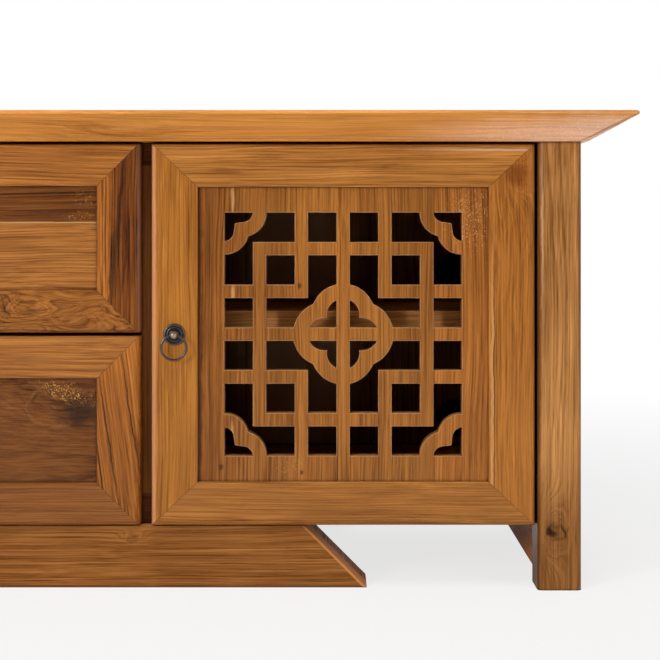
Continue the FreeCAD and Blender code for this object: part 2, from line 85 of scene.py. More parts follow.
def jitter(tree, place, times, detail=2.0):
    """A noise vector about zero; times is as for mottle."""
    feeds = {"Vector": steer(tree, "MULTIPLY", place, times), "Scale": 1.0, "Detail": detail}
    return steer(tree, "SUBTRACT", put(tree, "TexNoise", feeds).outputs[1], (0.5, 0.5, 0.5))


def rise(tree, value, low, high):
    """0 below low, 1 above high, and smooth between them."""
    feeds = {"Value": value, "From Min": low, "From Max": high}
    return put(tree, "MapRange", feeds, interpolation_type="SMOOTHSTEP").outputs[0]


def stain(tree, share, under, over, way="MIX"):
    """One colour laid over another by a share."""
    return put(tree, "Mix", {0: share, 6: under, 7: over}, data_type="RGBA", blend_type=way).outputs[2]


def new_group(name, takes, gives):
    """An empty shader node group with named sockets, as its tree, what it takes and what it gives."""
    tree = bpy.data.node_groups.new(name, "ShaderNodeTree")
    for socket, (kind, value) in takes.items():
        made = tree.interface.new_socket(socket, in_out="INPUT", socket_type="NodeSocket" + kind)
        made.default_value = value
    for socket, kind in gives.items():
        tree.interface.new_socket(socket, in_out="OUTPUT", socket_type="NodeSocket" + kind)
    return tree, tree.nodes.new("NodeGroupInput").outputs, tree.nodes.new("NodeGroupOutput").inputs


PLAIN_TEAK = (0.4, 0.2, 0.07, 1)
# A dark brown that darkens the black streaks in dark boards and paints shade into corners and recesses.
STREAK_AND_SHADE_BROWN = (0.22, 0.17, 0.13, 1)
KNOT_BLACK = (0.10, 0.07, 0.06, 1)


def teak_figure():
    """Growth rings round a pith, fibres and pores of one board, whose X runs along the grain."""
    takes = {
        "Board": ("Vector", (0, 0, 0)),
        "Tone": ("Color", PLAIN_TEAK),
        "Figure": ("Float", 1.0),
        "Ring": ("Float", 0.0028),
        "Wander": ("Float", 0.018),
        "Swirl": ("Float", 0.0025),
        "Dark": ("Float", 0.0),
        "Knot": ("Vector", (0, 0, 0)),
        "Knot Reach": ("Float", 0.02),
        "Knot Rise": ("Float", 0.0),
        "Knot Heart": ("Float", 0.0),
    }
    gives = {"Color": "Color", "Roughness": "Float", "Height": "Float"}
    tree, cut, out = new_group("teak figure", takes, gives)
    board = cut["Board"]

    # How near the knot is: 1 in its heart, fading over its reach, crumpled and drawn out along the grain
    crumple = stretch(tree, jitter(tree, board, (70.0, 130.0, 130.0)), cut["Knot Reach"])
    from_knot = steer(tree, "ADD", steer(tree, "SUBTRACT", board, cut["Knot"]), crumple)
    from_knot = steer(tree, "LENGTH", steer(tree, "MULTIPLY", from_knot, (0.45, 1.0, 1.0)))
    from_knot = reckon(tree, "DIVIDE", from_knot, cut["Knot Reach"])
    swell = reckon(tree, "EXPONENT", reckon(tree, "MULTIPLY", reckon(tree, "POWER", from_knot, 2.0), -1.0))

    # The distance from the pith, with a slow drift, a fine ripple and a rise at the knot
    drift = stretch(tree, jitter(tree, board, (2.6, 9.0, 9.0)), cut["Wander"])
    ripple = stretch(tree, jitter(tree, board, (11.0, 38.0, 38.0), 1.0), cut["Swirl"])
    bent = steer(tree, "ADD", board, steer(tree, "ADD", drift, ripple))
    radius = steer(tree, "LENGTH", steer(tree, "MULTIPLY", bent, (0, 1, 1)))
    radius = reckon(tree, "MULTIPLY_ADD", swell, cut["Knot Rise"], radius)

    # Growth rings of uneven width; late wood darkens towards the end of each year, in some years more
    along = put(tree, "SeparateXYZ", {0: board}).outputs[0]
    rings = reckon(tree, "DIVIDE", radius, cut["Ring"])
    uneven = put(tree, "CombineXYZ", {0: reckon(tree, "MULTIPLY", along, 0.8), 1: rings}).outputs[0]
    rings = reckon(tree, "MULTIPLY_ADD", mottle(tree, uneven, (1.0, 0.3, 1.0)), 2.5, rings)
    share = reckon(tree, "FRACT", rings)
    ripe = reckon(tree, "SUBTRACT", rise(tree, share, 0.30, 0.92), rise(tree, share, 0.92, 1.0))
    year = put(tree, "TexWhiteNoise", {"W": reckon(tree, "FLOOR", rings)}, noise_dimensions="1D").outputs[0]
    line = reckon(tree, "MULTIPLY", ripe, reckon(tree, "MULTIPLY_ADD", year, 0.8, 0.2))

    # Bands that follow the rings, fibres and open pores that follow the grain, and broad clouds
    flow = put(tree, "CombineXYZ", {0: along, 1: rings}).outputs[0]
    band = mottle(tree, flow, (2.2, 0.5, 1.0), 6.0, 0.8)
    fibre = mottle(tree, bent, (7.0, 540.0, 540.0), 2.0, 0.6)
    pore = mottle(tree, bent, (60.0, 900.0, 900.0), 1.0)
    pore = rise(tree, reckon(tree, "MULTIPLY_ADD", line, 0.05, pore), 0.60, 0.72)
    cloud = mottle(tree, board, (6.0, 15.0, 15.0))

    # All of these lighten or darken the tone: green more than red, and blue most
    light = reckon(tree, "MULTIPLY_ADD", line, -0.38, 0.08)
    light = reckon(tree, "MULTIPLY_ADD", pore, -0.17, light)
    for part, weight in ((band, 1.9), (fibre, 1.8), (cloud, 0.95)):
        light = reckon(tree, "MULTIPLY_ADD", reckon(tree, "SUBTRACT", part, 0.5), weight, light)
    light = reckon(tree, "MAXIMUM", reckon(tree, "MULTIPLY_ADD", light, cut["Figure"], 1.06), 0.12)
    channels = [light] + [reckon(tree, "POWER", light, warmth) for warmth in (1.18, 1.4)]
    shade = put(tree, "CombineColor", dict(enumerate(channels))).outputs[0]
    colour = stain(tree, 1.0, cut["Tone"], shade, "MULTIPLY")

    # Black streaks along the rings of dark boards, and the heart of the knot
    edge = reckon(tree, "MULTIPLY_ADD", cut["Dark"], -0.32, 0.70)
    streak = mottle(tree, flow, (2.2, 0.24, 1.0), 4.0, 0.6)
    streak = rise(tree, streak, edge, reckon(tree, "ADD", edge, 0.07))
    streak = reckon(tree, "MULTIPLY", streak, reckon(tree, "MINIMUM", cut["Dark"], 0.85))
    colour = stain(tree, streak, colour, stain(tree, 1.0, colour, STREAK_AND_SHADE_BROWN, "MULTIPLY"))
    heart = reckon(tree, "MULTIPLY", rise(tree, swell, 0.72, 0.93), cut["Knot Heart"])
    colour = stain(tree, heart, colour, stain(tree, 1.0, cut["Tone"], KNOT_BLACK, "MULTIPLY"))
    tree.links.new(colour, out["Color"])

    # Pores are duller and lie deeper than the fibres round them
    gloss = reckon(tree, "MULTIPLY_ADD", fibre, 0.16, 0.20)
    tree.links.new(reckon(tree, "MULTIPLY_ADD", pore, 0.14, gloss), out["Roughness"])
    relief = reckon(tree, "MULTIPLY_ADD", line, -0.25, reckon(tree, "MULTIPLY", fibre, 0.5))
    tree.links.new(reckon(tree, "MULTIPLY_ADD", pore, -0.7, relief), out["Height"])
    return tree


def soft_patch():
    """A soft oval round a point in frame space, turned about Y, whole, hollow or broken into flecks."""
    takes = {
        "Spot": ("Vector", (0, 0, 0)),
        "At": ("Vector", (0, 0, 0)),
        "Size": ("Vector", (1, 1, 1)),
        "Turn": ("Float", 0.0),
        "Soft": ("Float", 0.45),
        "Ragged": ("Float", 0.01),
        "Speck": ("Float", 0.0),
        "Hollow": ("Float", 0.0),
    }
    tree, cut, out = new_group("soft patch", takes, {"Mask": "Float"})
    ragged = jitter(tree, cut["Spot"], (60.0, 60.0, 60.0), 3.0)
    ragged = stretch(tree, steer(tree, "MULTIPLY", ragged, (1.0, 0.0, 1.0)), cut["Ragged"])
    away = steer(tree, "SUBTRACT", steer(tree, "ADD", cut["Spot"], ragged), cut["At"])
    turned = {"Vector": away, "Angle": cut["Turn"]}
    away = put(tree, "VectorRotate", turned, rotation_type="Y_AXIS").outputs[0]
    away = steer(tree, "LENGTH", steer(tree, "DIVIDE", away, cut["Size"]))
    near = reckon(tree, "SUBTRACT", 1.0, cut["Soft"])
    core = reckon(tree, "SUBTRACT", 1.0, rise(tree, away, near, reckon(tree, "ADD", 1.0, cut["Soft"])))
    outside = rise(tree, away, reckon(tree, "SUBTRACT", near, cut["Soft"]), 1.0)
    filled = reckon(tree, "SUBTRACT", 1.0, cut["Hollow"])
    core = reckon(tree, "MULTIPLY", core, reckon(tree, "MAXIMUM", outside, filled))
    fleck = rise(tree, mottle(tree, cut["Spot"], (820.0, 120.0, 700.0)), 0.55, 0.69)
    broken = reckon(tree, "MULTIPLY_ADD", reckon(tree, "SUBTRACT", fleck, 1.0), cut["Speck"], 1.0)
    tree.links.new(reckon(tree, "MULTIPLY", core, broken), out["Mask"])
    return tree


def board_edges():
    """Painted shade in the corners and recesses, from ambient occlusion; a colour along the sharp arrises;
    and the eased arrises as a normal.
    """
    takes = {
        "Color": ("Color", PLAIN_TEAK),
        "Edge": ("Color", PLAIN_TEAK),
        "Edge Share": ("Float", 0.0),
        "Ease": ("Float", 0.0012),
        "Reach": ("Float", 0.005),
    }
    tree, cut, out = new_group("board edges", takes, {"Color": "Color", "Normal": "Vector"})
    # Painted shade: the colour darkens where nearby faces hem the surface in, as in corners and recesses.
    open_to_air = put(tree, "AmbientOcclusion", {"Distance": cut["Reach"]}, samples=6).outputs["AO"]
    corner_shade = reckon(tree, "MULTIPLY_ADD", rise(tree, open_to_air, 0.35, 0.85), -0.9, 0.9)
    colour = stain(tree, corner_shade, cut["Color"], STREAK_AND_SHADE_BROWN, "MULTIPLY")
    eased = put(tree, "Bevel", {"Radius": cut["Ease"]}, samples=4).outputs[0]
    flat = steer(tree, "DOT_PRODUCT", eased, put(tree, "NewGeometry").outputs["Normal"])
    sharp = rise(tree, reckon(tree, "SUBTRACT", 1.0, flat), 0.03, 0.18)
    colour = stain(tree, reckon(tree, "MULTIPLY", sharp, cut["Edge Share"]), colour, cut["Edge"])
    tree.links.new(colour, out["Color"])
    tree.links.new(eased, out["Normal"])
    return tree


TEAK = teak_figure()
PATCH = soft_patch()
EDGES = board_edges()
AXES = {"X": Vector((1, 0, 0)), "Y": Vector((0, 1, 0)), "Z": Vector((0, 0, 1))}
LOG_STEP = 1.7
FRONT_FACE = -0.17
WIDE = 9.0
boards_cut = []


def tint(red, green, blue):
    """A colour given as it looks on a screen, 0 to 255, in the shaders' linear light."""
    return tuple(((part / 255 + 0.055) / 1.055) ** 2.4 for part in (red, green, blue)) + (1.0,)


def mark(at, size, hue, share, way="MIX", level=FRONT_FACE, deep=WIDE, **form):
    """One oval mark laid on the wood's colour, for figure and for painted light and shade: its middle and
    half size as X and Z, its colour and its strength.
    """
    oval = {"At": (at[0], level, at[1]), "Size": (size[0], deep, size[1])}
    oval.update({name.title(): value for name, value in form.items()})
    return oval, tint(*hue), share, way


def new_finish(name):
    """A new material: itself, its node tree, its shader and the place of a point in the frame."""
    finish = bpy.data.materials.new(name)
    finish.use_nodes = True
    tree = finish.node_tree
    return finish, tree, tree.nodes["Principled BSDF"], put(tree, "TexCoord").outputs["Object"]


def dress(piece, finish):
    """Gives a CAD piece its finish."""
    for holder in pieces[piece].material_slots:
        holder.material = finish


def varnished_teak(piece, grain, across, tone, pith=(0.05, 0.12), lean=0.0, taper=0.0, knot=None, marks=(),
                   plank=None, varnish=0.2, edge=None, **figure):
    """Varnished teak on a CAD piece: grain and across are axes, pith is where the tree's heart lay."""
    finish, tree, shader, spot = new_finish(piece + "_teak")
    turn = Matrix((AXES[grain], AXES[across].cross(AXES[grain]), AXES[across]))
    turn = Matrix.Rotation(lean, 3, "Y") @ Matrix.Rotation(taper, 3, "Z") @ turn
    low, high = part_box(piece)
    boards_cut.append(piece)
    start = Vector((LOG_STEP * len(boards_cut), *pith)) - turn @ ((low + high) / 2)
    board = put(tree, "Mapping", {"Vector": spot, "Location": start, "Rotation": turn.to_euler()}).outputs[0]
    feeds = {name.replace("_", " ").title(): value for name, value in figure.items()}
    feeds["Tone"] = tint(*tone)
    if plank:
        split = {"Board": board, "Tone": feeds["Tone"], "Width": plank}
        planks = put(tree, "Group", split, node_tree=PLANKS)
        board = planks.outputs["Board"]
        feeds["Tone"] = planks.outputs["Tone"]
    if knot:
        feeds["Knot"] = turn @ Vector(knot) + start
    wood = put(tree, "Group", {"Board": board, **feeds}, node_tree=TEAK)
    colour = wood.outputs["Color"]
    for oval, hue, share, way in marks:
        patch = put(tree, "Group", {"Spot": spot, **oval}, node_tree=PATCH)
        colour = stain(tree, reckon(tree, "MULTIPLY", patch.outputs["Mask"], share), colour, hue, way)
    edges = put(tree, "Group", {"Color": colour, **(edge or {})}, node_tree=EDGES)
    bump = {"Strength": 0.35, "Distance": 0.0004}
    bump.update({"Height": wood.outputs["Height"], "Normal": edges.outputs["Normal"]})
    tree.links.new(edges.outputs["Color"], shader.inputs["Base Color"])
    tree.links.new(wood.outputs["Roughness"], shader.inputs["Roughness"])
    tree.links.new(put(tree, "Bump", bump).outputs[0], shader.inputs["Normal"])
    shader.inputs["Specular IOR Level"].default_value = varnish
    dress(piece, finish)


SLAB_ARCH = (0.270, -0.190, 0.477)
# Painted sheen: a pale, speckled glow added to the colour towards the right end of the rail.
SLAB_PAINTED_SHEEN = mark((0.80, 0.477), (0.17, 0.0155), (172, 172, 176), 1.0, soft=0.6, way="ADD", speck=0.4)
SLAB_END = mark((0.7728, 0.4835), (0.0010, 0.034), (128, 74, 36), 0.6, soft=0.6, ragged=0.003, turn=-1.107)
varnished_teak("top_front_rail", "X", "Z", (208, 139, 66), pith=(0.03, 0.17), wander=0.024, ring=0.0034,
               figure=0.55, knot=SLAB_ARCH, knot_reach=0.03, knot_rise=0.008, marks=(SLAB_PAINTED_SHEEN, SLAB_END))

# Top rear and end rails
# The other three edges of the top frame, of the same teak: the end rails run from front to back, and the
# rear rail sits square between them.
varnished_teak("top_rear_rail", "X", "Y", (200, 128, 49), pith=(0.09, 0.03), wander=0.024)
varnished_teak("top_left_rail", "Y", "X", (204, 132, 50), pith=(0.07, 0.05), wander=0.024)
varnished_teak("top_right_rail", "Y", "X", (208, 136, 53), pith=(0.08, -0.04), wander=0.024)


# Top panel
# Teak planks glued edge to edge, flush within the top's frame.
# They are varnished with the frame as one surface.
def glued_planks():
    """Splits a panel into planks: each comes from another place in the log and has its own tone."""
    takes = {"Board": ("Vector", (0, 0, 0)), "Tone": ("Color", PLAIN_TEAK), "Width": ("Float", 0.08)}
    tree, cut, out = new_group("glued planks", takes, {"Board": "Vector", "Tone": "Color"})
    across = put(tree, "SeparateXYZ", {0: cut["Board"]}).outputs[2]
    count = reckon(tree, "DIVIDE", across, cut["Width"])
    chance = put(tree, "TexWhiteNoise", {"W": reckon(tree, "FLOOR", count)}, noise_dimensions="1D")
    moved = steer(tree, "MULTIPLY", chance.outputs[1], (9.0, 0.05, 0.12))
    tree.links.new(steer(tree, "ADD", cut["Board"], moved), out["Board"])
    inside = reckon(tree, "ABSOLUTE", reckon(tree, "SUBTRACT", reckon(tree, "FRACT", count), 0.5))
    gap = reckon(tree, "MULTIPLY", reckon(tree, "SUBTRACT", 0.5, inside), cut["Width"])
    joint = reckon(tree, "MULTIPLY_ADD", rise(tree, gap, 0.0002, 0.0008), 0.35, 0.65)
    level = reckon(tree, "MULTIPLY", reckon(tree, "MULTIPLY_ADD", chance.outputs[0], 0.34, 0.83), joint)
    shade = put(tree, "CombineColor", {0: level, 1: level, 2: level}).outputs[0]
    tree.links.new(stain(tree, 1.0, cut["Tone"], shade, "MULTIPLY"), out["Tone"])
    return tree


PLANKS = glued_planks()
varnished_teak("top_panel", "X", "Y", (200, 128, 49), pith=(0.08, 0.04), wander=0.024, plank=0.084)

# Legs
# Four square posts of solid teak with rounded arrises, from the floor to the top.
# The rails and panels are let into them. The right front one has a knot near its foot.
# Painted highlight: a pale colour along the sharp arrises of the right front leg and the front base board.
PAINTED_ARRIS_HIGHLIGHT = {"Edge": tint(230, 190, 152), "Edge Share": 0.6}
LEG_KNOT = (0.7205, -0.175, 0.062)
KNOT_RIM = mark((0.7235, 0.0615), (0.0078, 0.0085), (66, 36, 17), 0.6, soft=0.35, ragged=0.02, hollow=1.0)
KNOT_ARC = mark((0.7298, 0.0620), (0.0013, 0.0070), (50, 27, 13), 0.75, soft=0.7, ragged=0.012, turn=0.25)
KNOT_EYE = mark((0.7188, 0.0612), (0.0046, 0.0042), (44, 24, 12), 0.9, soft=0.6, ragged=0.016)
# On the right front leg's inner arris: a painted highlight line, and painted shade on the rounded arris
# beside the door.
LEG_PAINTED_HIGHLIGHT = mark((0.7087, 0.39), (0.0008, 0.09), (220, 180, 146), 0.4, soft=0.9, ragged=0.003)
LEG_ARRIS_PAINTED_SHADE = mark((0.7040, 0.27), (0.0034, 0.4), (176, 164, 152), 1.0, soft=0.4, ragged=0.002, way="MULTIPLY")
FOOT_SHADE = mark((0.727, 0.03), (0.1, 0.07), (222, 215, 208), 1.0, soft=0.6, way="MULTIPLY")
varnished_teak("leg_front_right", "Z", "X", (162, 110, 60), varnish=0.06, pith=(0.05, 0.035), ring=0.0026,
               figure=0.9, edge=PAINTED_ARRIS_HIGHLIGHT, knot=LEG_KNOT, knot_reach=0.012, knot_rise=0.026, knot_heart=0.3,
               marks=(FOOT_SHADE, LEG_ARRIS_PAINTED_SHADE, LEG_PAINTED_HIGHLIGHT, KNOT_RIM, KNOT_ARC, KNOT_EYE))
varnished_teak("leg_front_left", "Z", "X", (170, 107, 43), pith=(0.05, -0.05), ring=0.0036)
varnished_teak("leg_rear_left", "Z", "Y", (166, 103, 40), pith=(0.06, 0.05))
varnished_teak("leg_rear_right", "Z", "Y", (168, 105, 42), pith=(0.07, -0.04))

# Side frames
# Each side is a panel of upright planks held between two rails, tenoned into the legs.
# The planks are narrow and their joints show as fine dark lines.
varnished_teak("side_panels", "Z", "Y", (164, 100, 39), pith=(0.06, 0.05), plank=0.088)
varnished_teak("side_rails", "Y", "Z", (180, 114, 60), varnish=0.001, pith=(0.05, 0.10))

# Dividers, floor and shelves
# The upright dividers, the floor and the two shelves that make the compartments.
# The dividers are plain dark boards. The floor and the shelves are paler planks; the shelves sit in dadoes.
varnished_teak("divider_right", "Z", "Y", (128, 80, 37), varnish=0.04, pith=(0.05, 0.06), figure=0.7)
varnished_teak("divider_left", "Z", "Y", (128, 80, 37), varnish=0.04, pith=(0.06, 0.05), figure=0.7)
for carcass_board in ("carcass_floor", "shelves"):
    varnished_teak(carcass_board, "X", "Y", (184, 122, 66), varnish=0.03, pith=(0.07, 0.04), plank=0.095)

# Cross rails and drawer runners
# Long rails that tie the carcass together at its front and back, and the strips that the drawers slide on.
# They are plain teak, planed and sealed, and the rails are stained dark.
varnished_teak("cross_rails", "X", "Z", (88, 50, 22), varnish=0.04, pith=(0.05, 0.09))
varnished_teak("drawer_runners", "Y", "Z", (140, 86, 35), pith=(0.04, 0.08))

# Back
# Upright planks with a vee at each joint, let in between the rear legs and stained dark.
# Light is painted on the inside of some boards behind the right-hand door. One plank at each end is bored for
# cables.
# Painted light: the inside of the back is lighter where light through the right-hand fretwork would fall.
BACK_PAINTED_LIGHT = mark((0.44, 0.27), (0.075, 0.2), (220, 184, 140), 0.95, soft=0.4, level=0.211, deep=0.006)
for back_board in ("back_planks", "back_cable_planks"):
    varnished_teak(back_board, "Z", "X", (138, 90, 55), varnish=0.02, pith=(0.06, 0.06), plank=0.09,
                   marks=(BACK_PAINTED_LIGHT,))


# Cable rims
# Glossy black plastic cups pressed into the cable holes, with faint marks from handling.
# Each has a small window low down for the cables.
def uneven_surface():
    """Faint marks of making and use: a colour between two hues, and a roughness, that follow one noise."""
    takes = {
        "Spot": ("Vector", (0, 0, 0)),
        "Times": ("Vector", (300, 300, 300)),
        "Detail": ("Float", 3.0),
        "Grit": ("Float", 0.5),
        "Dark Hue": ("Color", (0, 0, 0, 1)),
        "Light Hue": ("Color", (1, 1, 1, 1)),
        "Rough": ("Float", 0.1),
        "Rougher By": ("Float", 0.3),
    }
    gives = {"Color": "Color", "Roughness": "Float", "Mask": "Float"}
    tree, cut, out = new_group("uneven surface", takes, gives)
    haze = mottle(tree, cut["Spot"], cut["Times"], cut["Detail"], cut["Grit"])
    tree.links.new(stain(tree, haze, cut["Dark Hue"], cut["Light Hue"]), out["Color"])
    tree.links.new(reckon(tree, "MULTIPLY_ADD", haze, cut["Rougher By"], cut["Rough"]), out["Roughness"])
    tree.links.new(haze, out["Mask"])
    return tree


UNEVEN = uneven_surface()


def uneven_finish(name, dark_hue, light_hue, metallic=0.0, **marks):
    """A material with an uneven surface between two hues; marks are the group's own values."""
    finish, tree, shader, spot = new_finish(name)
    feeds = {"Spot": spot, "Dark Hue": tint(*dark_hue), "Light Hue": tint(*light_hue)}
    feeds.update({socket.replace("_", " ").title(): value for socket, value in marks.items()})
    surface = put(tree, "Group", feeds, node_tree=UNEVEN).outputs
    tree.links.new(surface["Color"], shader.inputs["Base Color"])
    tree.links.new(surface["Roughness"], shader.inputs["Roughness"])
    shader.inputs["Metallic"].default_value = metallic
    return finish


rim_plastic = uneven_finish("rim_black", (14, 14, 17), (26, 26, 30), times=(300.0, 300.0, 900.0), rough=0.06,
                            rougher_by=0.2)
dress("cable_rims", rim_plastic)

# Cable brushes
# A row of black nylon bristles fills the window of each cable rim and keeps light and dust out.
# They are set in the window's upper edge.
CABLE_HOLES_X = (-0.650, 0.650)
CABLE_HOLES_Z = (0.132, 0.325)
BRISTLES = 24
BRISTLE_W = 0.0009
WINDOW_HALF_W = 0.007
WINDOW_LOW = -0.016
WINDOW_HIGH = -0.006
BRISTLE_BACK = 0.0012

nylon = uneven_finish("black_nylon", (10, 10, 12), (24, 24, 27), times=(1500.0, 1500.0, 200.0), detail=2.0,
                      rough=0.35, rougher_by=0.3)
brush_form = bmesh.new()
rim_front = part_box("cable_rims")[0].y
for hole_x in CABLE_HOLES_X:
    for hole_z in CABLE_HOLES_Z:
        for bristle in range(BRISTLES):
            x = hole_x - WINDOW_HALF_W + 2 * WINDOW_HALF_W * (bristle + 0.5) / BRISTLES
            y = rim_front + BRISTLE_BACK + BRISTLE_W * (bristle % 2)
            middle = Vector((x, y, hole_z + (WINDOW_LOW + WINDOW_HIGH) / 2))
            size = Matrix.Diagonal((BRISTLE_W, BRISTLE_W, WINDOW_HIGH - WINDOW_LOW, 1.0))
            bmesh.ops.create_cube(brush_form, size=1.0, matrix=Matrix.Translation(middle) @ size)
brush_mesh = bpy.data.meshes.new("cable_brushes")
brush_form.to_mesh(brush_mesh)
brush_form.free()
brush_mesh.materials.append(nylon)
brushes = bpy.data.objects.new("cable_brushes", brush_mesh)
bpy.context.scene.collection.objects.link(brushes)
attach(brushes, "carcass")

# Base
# A flared board stands under the front and another under the rear, with bearers between them.
# Their ends splay outwards to the floor, and their outer arrises are rounded over.
BASE_KNOT = (0.277, -0.165, 0.052)
# Painted light: the ends, top and bottom of the front base board are lighter than its front face.
BASE_END_PAINTED_LIGHT = mark((0.0, 0.033), (WIDE, WIDE), (226, 152, 88), 0.85, soft=0.02, ragged=0.0, level=-0.149,
                deep=0.0155)
varnished_teak("base_front_board", "X", "Z", (140, 88, 43), varnish=0.001, edge=PAINTED_ARRIS_HIGHLIGHT, pith=(0.04, 0.12),
               knot=BASE_KNOT, knot_reach=0.007, knot_rise=0.012, knot_heart=0.3, marks=(BASE_END_PAINTED_LIGHT,))
varnished_teak("base_rear_board", "X", "Z", (146, 88, 35), varnish=0.04, pith=(0.05, 0.10))
varnished_teak("base_bearers", "Y", "Z", (160, 104, 58), varnish=0.001, pith=(0.05, 0.08))

# Door frames
# Two stiles and two rails, mitred at the corners, with rounded outer arrises and eased inner ones.
# The grain runs upright in the stiles and across in the rails.
MITRE_SEAM = {"Edge": tint(66, 36, 16), "Edge Share": 0.7}
# Painted highlights on the right door: along the pull stile's outer arris, the top rail's upper arris and the
# hinge stile's inner arris.
PULL_STILE_PAINTED_SHEEN = mark((0.3008, 0.268), (0.0026, 0.4), (222, 158, 116), 0.55, soft=0.5, ragged=0.002)
TOP_RAIL_PAINTED_HIGHLIGHT = mark((0.665, 0.4625), (0.075, 0.0013), (232, 196, 166), 0.5, soft=0.9, ragged=0.002)
HINGE_STILE_PAINTED_HIGHLIGHT = mark((0.6562, 0.20), (0.0015, 0.15), (210, 158, 102), 0.6, ragged=0.004)
SAP_LINE = mark((0.6585, 0.20), (0.0006, 0.13), (74, 42, 20), 0.75, ragged=0.004)
STILE_SHADE = mark((0.682, 0.437), (0.012, 0.010), (204, 186, 168), 1.0, soft=0.8, ragged=0.03,
                   way="MULTIPLY")
STILE_BURL = (0.683, -0.175, 0.436)


def mitred_member(piece, grain, tone, pith, **look):
    """A stile or rail of a front: teak with its grain lengthwise and a dark line along each mitre."""
    across = "X" if grain == "Z" else "Z"
    varnished_teak(piece, grain, across, tone, pith=pith, edge=MITRE_SEAM, **look)


mitred_member("right_door_pull_stile", "Z", (157, 97, 34), (0.02, 0.16), ring=0.0024, lean=0.006, figure=0.8,
              marks=(PULL_STILE_PAINTED_SHEEN,))
mitred_member("right_door_top_rail", "X", (164, 106, 46), (0.02, 0.14), lean=0.012, marks=(TOP_RAIL_PAINTED_HIGHLIGHT,))
mitred_member("right_door_bottom_rail", "X", (159, 101, 43), (0.03, 0.12), figure=0.8)
mitred_member("right_door_hinge_stile", "Z", (160, 98, 37), (0.03, 0.07), taper=0.03, figure=0.8,
              marks=(HINGE_STILE_PAINTED_HIGHLIGHT, SAP_LINE, STILE_SHADE), knot=STILE_BURL, knot_reach=0.012, knot_rise=0.020)
mitred_member("left_door_pull_stile", "Z", (172, 105, 37), (0.03, 0.15))
mitred_member("left_door_hinge_stile", "Z", (168, 102, 37), (0.05, -0.02), taper=-0.05)
mitred_member("left_door_top_rail", "X", (168, 103, 40), (0.03, 0.13))
mitred_member("left_door_bottom_rail", "X", (162, 99, 39), (0.03, -0.12))

# Fretwork panels
# The pierced panel of each door is glued up from upright planks, one of them with a pale strip of sapwood,
# then sawn through: a lattice of bars round a quatrefoil, with a cusped corner piece at each corner.
# Painted glints: a pale colour along the sharp arrises of the fretwork's openings.
SAWN_ARRIS_PAINTED_GLINT = {"Edge": tint(238, 194, 150), "Edge Share": 0.65, "Ease": 0.0016}
SAWN_WALLS = mark((0.0, 0.27), (WIDE, WIDE), (196, 140, 82), 0.5, soft=0.02, ragged=0.0, level=-0.1635,
                  deep=0.007)
SAP_STRIPS = [mark(at, (0.0018, half), (212, 162, 108), 0.6, soft=0.5, ragged=0.003)
              for at, half in (((0.3835, 0.411), 0.014), ((0.3838, 0.311), 0.010), ((0.3830, 0.16), 0.016))]
SIDE_SHADE = mark((0.36, 0.268), (0.028, 0.3), (244, 236, 226), 1.0, soft=0.5, way="MULTIPLY")
FAR_SHADE = mark((0.65, 0.25), (0.05, 0.3), (242, 235, 230), 1.0, soft=0.8, way="MULTIPLY")
# Painted shadow: a dark strip on the panel beside the pull stile, where the stile's edge shades it.
GROOVE_SHADE = mark((0.3475, 0.268), (0.004, 0.3), (206, 190, 172), 1.0, soft=0.6, way="MULTIPLY")
# Painted glints: pale golden flecks on the upper right of the right fret panel.
FRET_PAINTED_GLINTS = mark((0.634, 0.390), (0.024, 0.030), (226, 166, 104), 0.7, soft=0.6, speck=1.0)
LOW_FLECKS = mark((0.441, 0.132), (0.014, 0.012), (204, 150, 84), 0.5, soft=0.6, speck=1.0)
SMALL_KNOTS = [mark(at, (0.0022, 0.0028), (62, 34, 17), 0.75, ragged=0.012)
               for at in ((0.4555, 0.320), (0.4555, 0.124), (0.370, 0.129))]
varnished_teak("right_door_fret_panel", "Z", "X", (147, 90, 35), pith=(0.05, 0.06), plank=0.078,
               edge=SAWN_ARRIS_PAINTED_GLINT, marks=(*SAP_STRIPS, SIDE_SHADE, FAR_SHADE, GROOVE_SHADE, FRET_PAINTED_GLINTS,
                                       LOW_FLECKS, *SMALL_KNOTS, SAWN_WALLS))
varnished_teak("left_door_fret_panel", "Z", "X", (146, 88, 32), pith=(0.05, -0.05), plank=0.078,
               edge=SAWN_ARRIS_PAINTED_GLINT, marks=(SAWN_WALLS,))

# Drawer fronts
# The same mitred frame as a door, lying flat, round a thinner panel.
# The boards are the darkest and most figured of the cabinet, with black streaks and swirls.
DARK_HEART = mark((0.273, 0.37), (0.016, WIDE), (186, 172, 158), 1.0, soft=0.3, ragged=0.008, way="MULTIPLY")
# Painted sheen: a pale strip along the upper drawer's right outer arris.
DRAWER_ARRIS_PAINTED_SHEEN = mark((0.2863, 0.37), (0.0024, 0.3), (160, 116, 92), 0.5, soft=0.5, ragged=0.002)
BLACK_STREAKS = [mark(at, (0.0010, half), (24, 13, 7), 0.95, soft=0.9, ragged=0.007, speck=0.4, turn=-0.07)
                 for at, half in (((0.2625, 0.372), 0.09), ((0.2590, 0.345), 0.06), ((0.266, 0.41), 0.04),
                                  ((0.2560, 0.33), 0.05), ((0.2650, 0.375), 0.08), ((0.2715, 0.36), 0.07))]
UPPER_SWIRL = (0.172, -0.175, 0.292)
SLANTS = [mark(at, (0.0009, half), (44, 22, 8), 0.9, soft=0.8, ragged=0.004, turn=0.155)
          for at, half in (((0.2544, 0.154), 0.075), ((0.2765, 0.186), 0.066), ((0.246, 0.12), 0.05))]
mitred_member("upper_drawer_right_stile", "Z", (156, 92, 34), (0.02, 0.14), dark=0.5, figure=1.5,
              marks=(DARK_HEART, *BLACK_STREAKS, DRAWER_ARRIS_PAINTED_SHEEN))
mitred_member("upper_drawer_left_stile", "Z", (150, 89, 33), (0.03, 0.12), dark=0.4)
